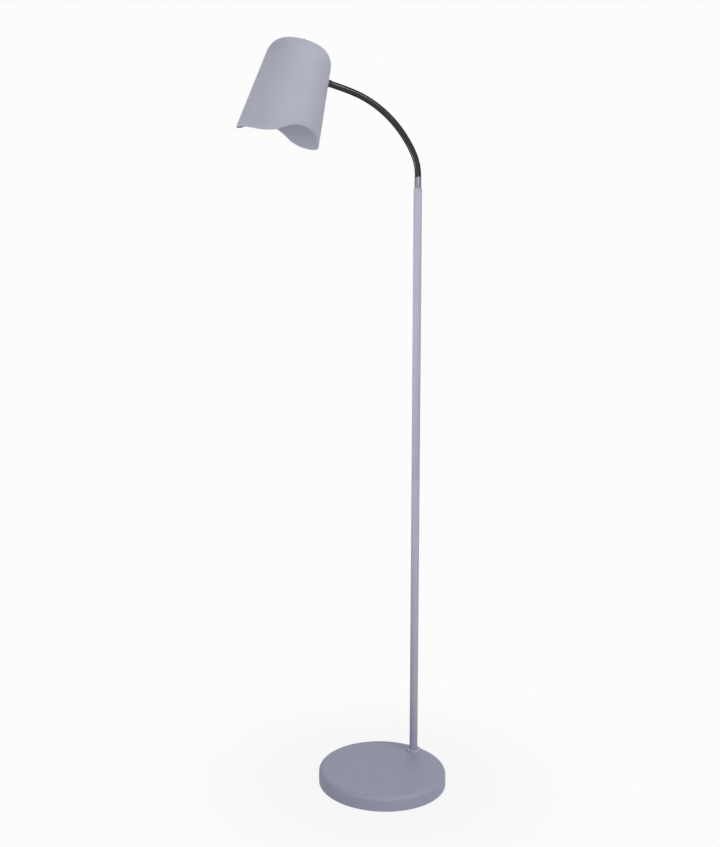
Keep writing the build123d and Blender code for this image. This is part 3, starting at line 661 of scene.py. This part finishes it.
def make_lamp(place):
    """Flared neck of the lamp and its round globe."""
    top, low = -LAMP_COLLAR_TOP, -LAMP_COLLAR_TOP - LAMP_COLLAR_DEPTH
    start_radius = LAMP_CAP_RADIUS + LAMP_COLLAR_LIP
    start = top - LAMP_COLLAR_DROP
    profile = [(PINHOLE, top), (LAMP_CAP_RADIUS, top)]
    for k in range(LAMP_STEPS + 1):
        t = k / LAMP_STEPS
        flare = t * t * (3 - 2 * t) * FLARE_CURVE + t * (1 - FLARE_CURVE)
        profile.append((start_radius + (COLLAR_LOW_RADIUS - start_radius) * flare, start - (start - low) * t))
    profile.append((PINHOLE, low))
    lathe("lamp_neck", profile, place, "lamp_collar", "head")
    centre = low - sqrt(GLOBE_RADIUS ** 2 - COLLAR_LOW_RADIUS ** 2)
    sweep = pi - asin(COLLAR_LOW_RADIUS / GLOBE_RADIUS)
    profile = [(PINHOLE, low)]
    for k in range(2 * LAMP_STEPS + 1):
        angle = sweep * (1 - k / (2 * LAMP_STEPS))
        profile.append((max(GLOBE_RADIUS * sin(angle), PINHOLE), centre - GLOBE_RADIUS * cos(angle)))
    lathe("lamp_bulb", profile, place, "lamp_globe", "head")


# ---------------------------------------------------------------- stage, lights and camera

def seen_directly(tree):
    """1 for rays that come from the camera, or by way of a mirror or glass, and 0 for the rest."""
    path = tree.nodes.new("ShaderNodeLightPath")
    shown = maths(tree, "MAXIMUM", path.outputs["Is Camera Ray"], path.outputs["Is Glossy Ray"])
    return maths(tree, "MAXIMUM", shown, path.outputs["Is Transmission Ray"])


def mix_shaders(tree, share, first, second):
    """The shader that goes from first to second as share goes from 0 to 1."""
    mix = tree.nodes.new("ShaderNodeMixShader")
    for socket, value in zip(mix.inputs, (share, first, second)):
        tree.links.new(value, socket)
    return mix.outputs["Shader"]


def make_world():
    """Soft even light all round, and white paper where the world is seen."""
    world = bpy.data.worlds.new("studio")
    bpy.context.scene.world = world
    world.use_nodes = True
    tree = world.node_tree
    ambient = tree.nodes["Background"]
    ambient.inputs["Color"].default_value = (1, 1, 1, 1)
    ambient.inputs["Strength"].default_value = AMBIENT
    paper = node_of(tree, "ShaderNodeBackground", Color=PAPER, Strength=1.0)
    mixed = mix_shaders(tree, seen_directly(tree), ambient.outputs["Background"], paper.outputs["Background"])
    tree.links.new(mixed, tree.nodes["World Output"].inputs["Surface"])


def make_floor():
    """Pale floor that is seen as white paper, and keeps a faint shadow round the base."""
    reach = FLOOR_SIZE
    mesh = bpy.data.meshes.new("floor")
    mesh.from_pydata([(-reach, -reach, 0), (reach, -reach, 0), (reach, reach, 0), (-reach, reach, 0)],
                     [], [(0, 1, 2, 3)])
    floor = bpy.data.objects.new("floor", mesh)
    bpy.context.collection.objects.link(floor)
    material = bpy.data.materials.new("floor_paper")
    material.use_nodes = True
    tree = material.node_tree
    shader = tree.nodes["Principled BSDF"]
    shader.inputs["Base Color"].default_value = FLOOR_COLOUR
    shader.inputs["Roughness"].default_value = FLOOR_ROUGHNESS
    glow = node_of(tree, "ShaderNodeEmission", Color=PAPER, Strength=1.0)
    place = tree.nodes.new("ShaderNodeTexCoord").outputs["Object"]
    away = node_of(tree, "ShaderNodeVectorMath", Vector=place)
    away.operation = "LENGTH"
    plain = node_of(tree, "ShaderNodeMapRange", Value=away.outputs["Value"],
                    From_Min=SHADOW_REACH[0], From_Max=SHADOW_REACH[1], To_Min=PAPER_SHARE)
    plain.interpolation_type = "SMOOTHSTEP"
    share = maths(tree, "MULTIPLY", seen_directly(tree), plain.outputs["Result"])
    mixed = mix_shaders(tree, share, shader.outputs["BSDF"], glow.outputs["Emission"])
    tree.links.new(mixed, tree.nodes["Material Output"].inputs["Surface"])
    mesh.materials.append(material)


def make_light(name, place, target, size, watts, spread):
    data = bpy.data.lights.new(name, "AREA")
    data.shape = "RECTANGLE"
    data.size, data.size_y = size
    data.energy = watts
    data.spread = radians(spread)
    light = bpy.data.objects.new(name, data)
    light.location = place
    light.rotation_euler = (Vector(target) - Vector(place)).to_track_quat("-Z", "Y").to_euler()
    bpy.context.collection.objects.link(light)


def make_camera():
    data = bpy.data.cameras.new("camera")
    data.lens = LENS
    data.shift_x, data.shift_y = SHIFT
    camera = bpy.data.objects.new("camera", data)
    right = CAMERA_FORWARD.cross(CAMERA_UP).normalized()
    turn = Matrix((right, CAMERA_UP, -CAMERA_FORWARD)).transposed().to_4x4()
    camera.matrix_world = Matrix.Translation(CAMERA_PLACE) @ turn
    bpy.context.collection.objects.link(camera)
    bpy.context.scene.camera = camera


make_camera()
make_world()
make_floor()
for light in LIGHTS:
    make_light(*light)
bpy.context.scene.view_settings.view_transform = "Standard"
dress_nodes()
make_base()
make_pole()
make_hose()
make_lower_ferrule()
make_upper_collar()
make_shade()
make_crown_screw(shade_place())
make_holder(shade_place())
make_lamp(shade_place())
